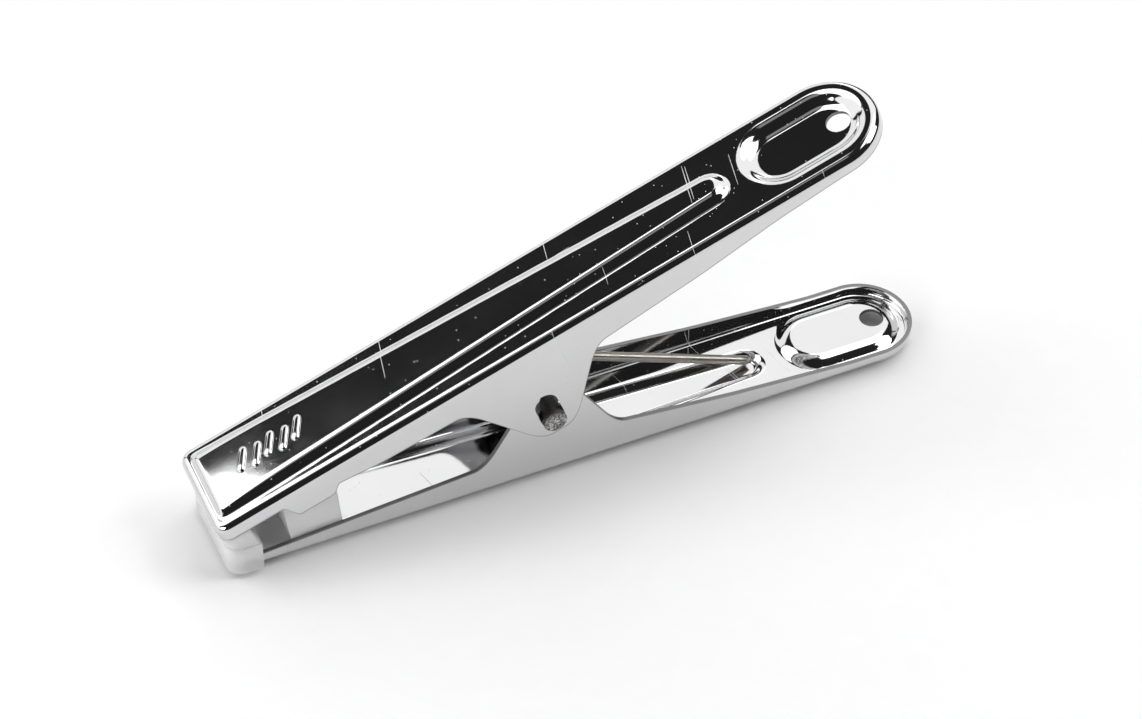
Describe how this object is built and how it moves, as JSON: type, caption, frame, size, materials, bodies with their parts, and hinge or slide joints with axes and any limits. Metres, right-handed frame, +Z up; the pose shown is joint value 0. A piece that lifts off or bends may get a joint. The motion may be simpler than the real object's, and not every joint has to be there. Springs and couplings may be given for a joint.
{
  "type": "clothespin",
  "caption": "Sprung sheet-metal clothespin: a pair of stamped levers on a cross pin, with a coil spring and plastic jaw inserts that leave a notch for the line.",
  "frame": {"origin": "on the surface that the clothespin lies on, straight below the pivot pin", "axes": "+X along the lower lever towards the grips, +Y across the clothespin along the pivot pin, +Z up from the surface"},
  "size_m": [0.0764, 0.0132, 0.0328],
  "materials": {
    "polished_sheet": "mirror-polished stainless steel sheet",
    "pin_wire": "drawn steel wire with cropped ends",
    "spring_wire": "drawn spring wire, dull",
    "jaw_plastic": "clear frosted plastic"
  },
  "bodies": {
    "lower_side": {"lower_lever": "polished_sheet", "pivot_pin": "pin_wire", "torsion_spring": "spring_wire", "lower_jaw_insert": "jaw_plastic"},
    "upper_side": {"upper_lever": "polished_sheet", "upper_jaw_insert": "jaw_plastic"}
  },
  "joints": [
    {"name": "squeeze", "type": "hinge", "parent": "lower_side", "child": "upper_side", "pos_m": [0, 0, 0.00885], "axis": [0, 1, 0], "range_deg": [0, 38], "stiffness_Nm_per_rad": 0.2, "springref_deg": -68.75, "deforming": ["torsion_spring"]}
  ]
}
